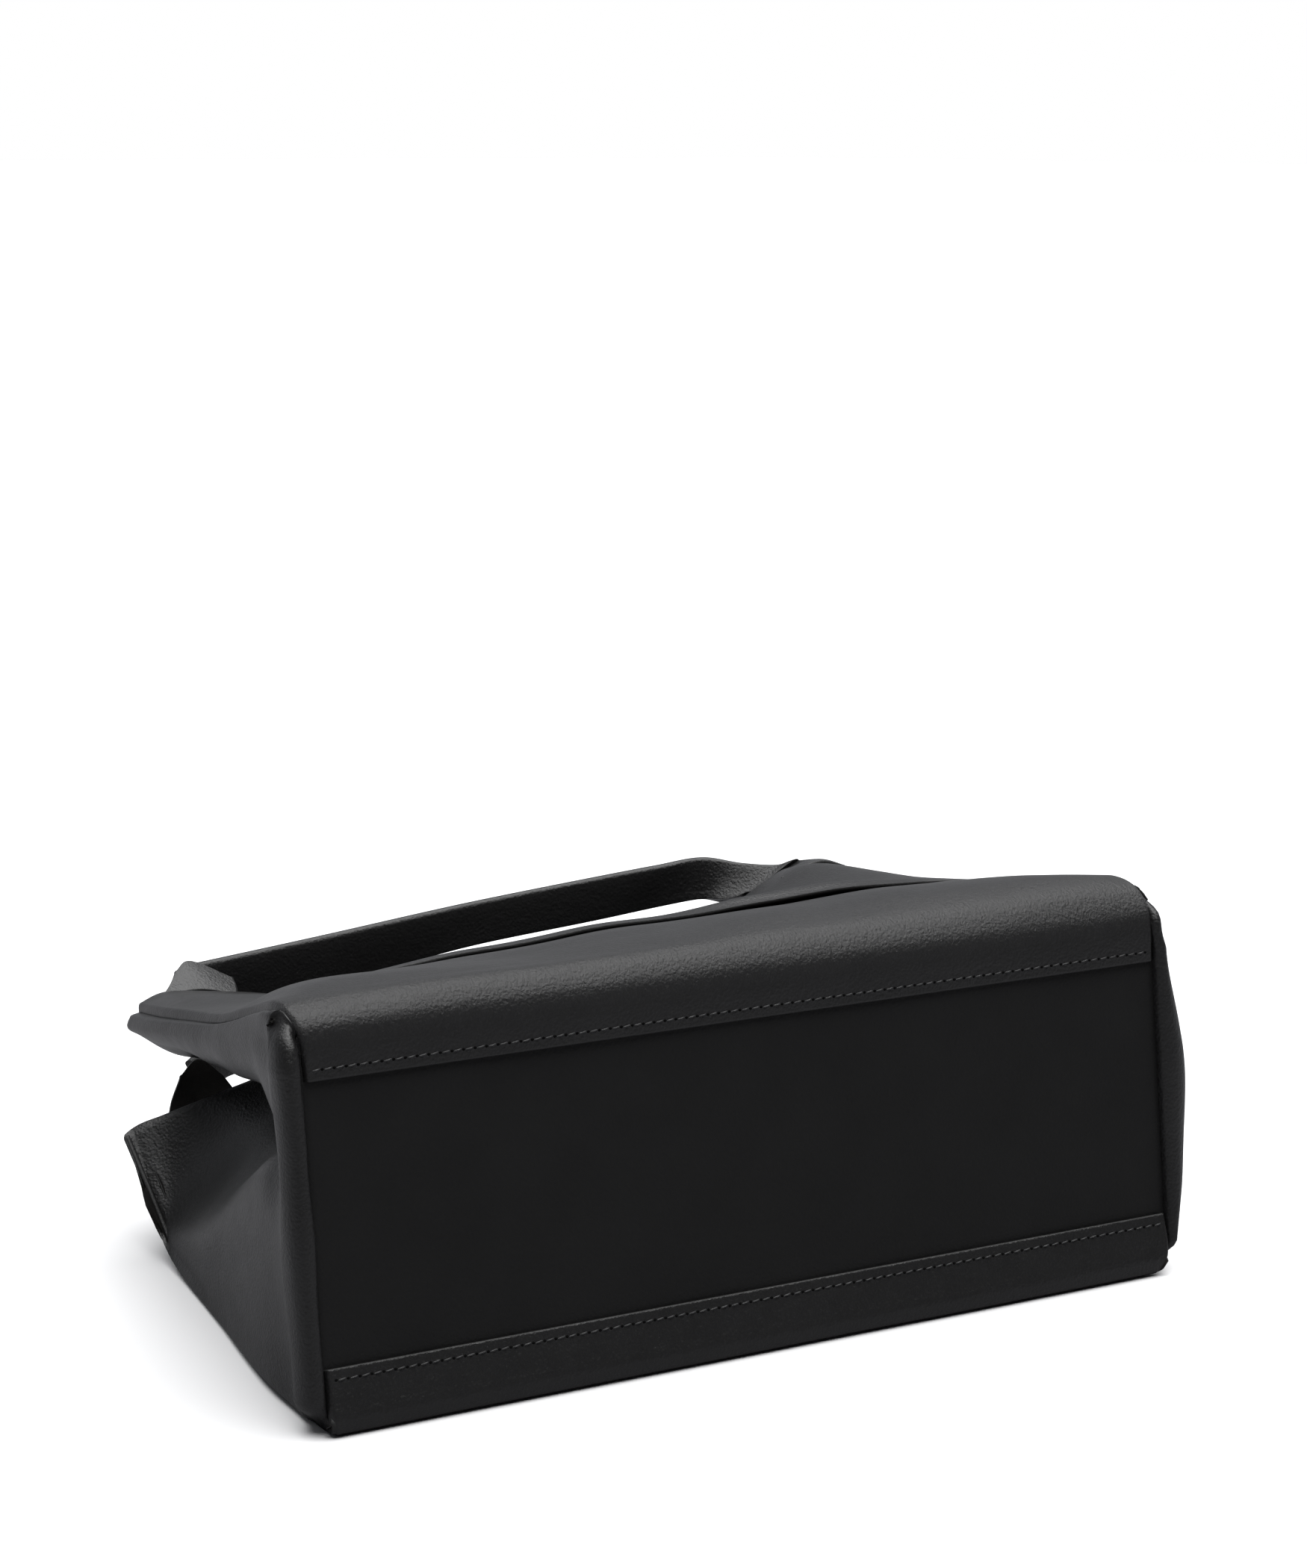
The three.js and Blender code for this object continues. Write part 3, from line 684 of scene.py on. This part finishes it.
for side, grid in gusset_grids.items():
    bent = np.full(grid.shape[:2], 0.1)
    gusset = make_sheet(f"{side}_leather_gusset", grid, LEATHER, SKIN, bent)
    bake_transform(gusset)
    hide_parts(f"{side}_gusset")

# ------------------------------------------------------------------ linings and facings
# Thin leather, flesh side showing: a backing behind the slot, a band round the inside of the
# mouth, and patches behind the shoulders. Each lies just inside the piece that it is sewn to.


def inner_layer(name, grid, depth, rows, columns, body, node):
    """A layer that follows another piece's surface at a depth behind it, over part of it."""
    patch = raised(grid, -depth)[rows, columns]
    layer = make_sheet(name, patch, THIN_LEATHER, INSIDE_SKIN)
    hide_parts(node)
    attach(layer, body)


def span(steps, low, high):
    """The part of a grid's steps from low to high, as a slice."""
    picked = np.where((steps > low - 1e-6) & (steps < high + 1e-6))[0]
    return slice(picked[0], picked[-1] + 1)


BEHIND = LEATHER + GAP
FACING_DEPTH = BEHIND + THIN_LEATHER + GAP
inner_layer("slot_pocket_backing", front_grid, BEHIND + 2 * MM, span(FRONT_U, 0.46, 0.8),
            span(ACROSS, 0.06, 0.94), "front_wall", "front_pocket_backing")
inner_layer("front_rim_facing", front_grid, FACING_DEPTH, span(FRONT_U, 0.9, 1),
            span(ACROSS, 0.02, 0.98), "front_wall", "front_mouth_facing")
inner_layer("back_rim_facing", back_grid, FACING_DEPTH, span(BACK_U, 0.86, 1),
            span(ACROSS, 0.03, 0.97), "shell", "back_mouth_facing")
for side, (low, high) in {"left": (0.06, 0.21), "right": (0.79, 0.94)}.items():
    inner_layer(f"front_reinforcement_{side}", front_grid, BEHIND, span(FRONT_U, 0.92, 1),
                span(ACROSS, low, high), "front_wall", f"front_patch_{side}")
    inner_layer(f"back_reinforcement_{side}", back_grid, BEHIND, span(BACK_U, 0.86, 0.97),
                span(ACROSS, 1 - high, 1 - low), "shell", f"back_patch_{side}")
    inside = raised(gusset_grids[side], -BEHIND - GAP)
    rim = inside[span(GUSSET_U, 0.86, 1), span(GUSSET_V, 0.1, 0.9)]
    facing = make_sheet(f"{side}_gusset_rim_facing", rim, THIN_LEATHER, INSIDE_SKIN)
    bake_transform(facing)
    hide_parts(f"{side}_gusset_facing")

# ------------------------------------------------------------------ handles
# Each handle is one strip of leather folded lengthwise round a felt core, so its top is a
# rounded fold and its lower edge is two raw edges stitched together.

STRAP = 4.6 * MM
STRAP_BENT = 0.25


def strap_outline():
    """The strap's section as (share of the way down, share of half its thickness)."""
    angles = np.linspace(math.pi, 0, 13)
    fold = [(0.1 - 0.1 * math.sin(a), math.cos(a)) for a in angles]
    down = [(0.25, 1.06), (0.5, 0.98), (0.75, 0.96), (0.88, 0.92), (0.965, 0.96), (1.0, 0.9)]
    cut = [(1.0, 0.16), (0.972, 0.0)]
    up = [(d, -n) for d, n in reversed(down)]
    return fold + down + cut + [(1.0, -0.16)] + up


def make_handle(name, top, bottom, body, node):
    """A strap between the lines of its folded top and its cut lower edge, in millimetres."""
    steps = finer((1, 130))
    top_line = through(np.array(top) * MM, steps)
    bottom_line = through(np.array(bottom) * MM, steps)
    down = bottom_line - top_line
    along = np.gradient((top_line + bottom_line) / 2, axis=0)
    out = np.cross(along, down)
    out /= np.linalg.norm(out, axis=1, keepdims=True)
    outline = strap_outline()
    grid = np.stack([top_line + d * down + n * STRAP / 2 * out for d, n in outline])
    grid = grid.transpose(1, 0, 2)
    rows, columns = grid.shape[:2]
    grid = grid.reshape(-1, 3)
    faces = []
    for i in range(rows - 1):
        for j in range(columns):
            k = (j + 1) % columns
            faces.append((i * columns + j, (i + 1) * columns + j, (i + 1) * columns + k,
                          i * columns + k))
    faces.append(tuple(range(columns)))
    faces.append(tuple((rows - 1) * columns + j for j in reversed(range(columns))))
    piece = new_piece(name, grid.tolist(), faces, SKIN, bent=np.full(len(grid), STRAP_BENT))
    smooth(piece, 60)
    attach(piece, body)
    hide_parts(node, f"{node}_core")
    return top_line, bottom_line, out


front_lines = make_handle(
    "front_strap_handle",
    [(-133, 177.5, 109.5), (-72, 176, 115.5), (0, 171, 124), (60, 166, 130), (92, 163, 133),
     (115, 160, 135), (132, 152, 131.8), (147, 142, 131.3), (153, 137, 134)],
    [(-127, 176, 86), (-72, 176, 90.5), (-35, 174.5, 98), (0, 171, 104), (60, 166, 110),
     (92, 163, 113.5), (113, 156, 116), (119, 149, 116), (127, 143.5, 118), (131, 141, 119.5)],
    "front_strap", "front_handle")
back_lines = make_handle(
    "back_strap_handle",
    [(-137, 169, 69), (-118, 181, 75), (-96, 190, 76), (-40, 200, 66), (20, 202, 62),
     (80, 196, 66), (116, 182, 73), (137, 169, 69)],
    [(-129, 168, 54), (-114, 182, 56), (-95, 191, 54), (-40, 201, 43), (20, 203, 39),
     (80, 197, 43), (112, 183, 52), (129, 168, 54)], "back_strap", "back_handle")

# ------------------------------------------------------------------ stitching
# Heavy black thread: one row along each lap and one along each handle's raw edge. The stitches
# slant a little, and between each two stands a small near-black disc, painted shade for the awl
# hole.

PITCH = 4.7 * MM
THREAD = 0.42 * MM
SLANT = 0.3 * MM
HOLE = 0.62 * MM
HOLE_LIFT = 0.06 * MM
ARCH = 0.36 * MM
SUNK = 0.1 * MM
TAPER = ((-1, 0.5), (-0.72, 0.95), (0, 1), (0.72, 0.95), (1, 0.5))
thread = Finish("thread", Base_Color=(0.022, 0.022, 0.023, 1), Specular_IOR_Level=0.6)
thread.feed(thread.shader.inputs["Roughness"], thread.noise(900.0) * 0.25 + 0.35)
thread.feed(thread.shader.inputs["Normal"], thread.bump(thread.noise(2200.0, 2.0), 0.2 * MM))
# Near-black and nearly without gloss: painted shade standing for the dark inside of each awl hole.
painted_hole_shade = Finish("painted_hole_shade", Specular_IOR_Level=0.1, Roughness=0.95)
painted_hole_shade.feed(painted_hole_shade.shader.inputs["Base Color"],
              painted_hole_shade.mix(painted_hole_shade.noise(900.0), (0.001, 0.001, 0.001, 1),
                           (0.003, 0.003, 0.003, 1)))


def stitch_row(name, line, outward, body):
    """One short slanted stitch of thread every pitch along a line, and a disc of painted hole shade
    between.
    """
    line, outward = np.asarray(line), np.asarray(outward)
    run = np.concatenate([[0], np.cumsum(np.linalg.norm(np.diff(line, axis=0), axis=1))])
    points, faces, slots = [], [], []
    for centre in np.arange(PITCH, run[-1] - PITCH / 2, PITCH):
        place = np.array([np.interp(centre, run, line[:, k]) for k in range(3)])
        ahead = np.array([np.interp(centre + 0.5 * MM, run, line[:, k]) for k in range(3)])
        up = np.array([np.interp(centre, run, outward[:, k]) for k in range(3)])
        up /= np.linalg.norm(up)
        along = (ahead - place) / np.linalg.norm(ahead - place)
        side = np.cross(up, along)
        start = len(points)
        for t, width in TAPER:
            lift = ARCH * (1 - t * t * 2.2) - SUNK
            middle = place + t * (0.4 * PITCH * along + SLANT * side) + lift * up
            for k in range(6):
                angle = math.tau * k / 6
                ring = math.cos(angle) * side + math.sin(angle) * up
                points.append(middle + THREAD * width * ring)
        for r in range(4):
            for k in range(6):
                a, b = start + 6 * r + k, start + 6 * r + (k + 1) % 6
                faces.append((a, a + 6, b + 6, b))
        faces.append(tuple(start + k for k in range(6)))
        faces.append(tuple(start + 24 + k for k in reversed(range(6))))
        slots += [0] * 26
        start = len(points)
        # A near-black disc raised a little over the leather, painted as the shade in the awl hole.
        hole = place + 0.5 * PITCH * along + HOLE_LIFT * up
        for radius, drop in ((1, 0), (1.25, -2.5 * HOLE_LIFT)):
            for k in range(8):
                angle = math.tau * k / 8
                ring = HOLE * radius * (0.8 * math.cos(angle) * side + math.sin(angle) * along)
                points.append(hole + ring + drop * up)
        faces.append(tuple(start + k for k in reversed(range(8))))
        for k in range(8):
            a, b = start + k, start + (k + 1) % 8
            faces.append((a, b, b + 8, a + 8))
        slots += [1] * 9
    piece = new_piece(name, [tuple(p) for p in points], faces,
                      [thread.material, painted_hole_shade.material], slots)
    smooth(piece, 80)
    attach(piece, body)


def grid_line(grid, steps, at, trim=3):
    """The points and normals along one row of a grid, short of its ends."""
    row = int(np.argmin(abs(steps - at)))
    return grid[row, trim:-trim], normals(grid)[row, trim:-trim]


stitch_row("front_lap_stitches", *grid_line(front_grid, FRONT_U, 0.032), "shell")
stitch_row("back_lap_stitches", *grid_line(back_grid, BACK_U, 0.029), "shell")
for name, (top_line, bottom_line, out), body in (
        ("front_handle_stitches", front_lines, "front_strap"),
        ("back_handle_stitches", back_lines, "back_strap")):
    line = top_line + 0.87 * (bottom_line - top_line)
    stitch_row(name, line[4:-4] + out[4:-4] * STRAP * 0.47, out[4:-4], body)

# ------------------------------------------------------------------ magnetic snap
# A plated stud and socket inside the mouth that hold it closed, each with a backing plate
# behind its facing. They keep the shapes that the frame gives them.

plating = Finish("snap_plating", Base_Color=(0.32, 0.28, 0.22, 1), Metallic=1.0)
plating.feed(plating.shader.inputs["Roughness"], plating.noise(500.0) * 0.25 + 0.22)
for node in ("snap_stud", "snap_stud_washer", "snap_socket", "snap_socket_washer"):
    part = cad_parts[node]
    part.data.materials.clear()
    part.data.materials.append(plating.material)
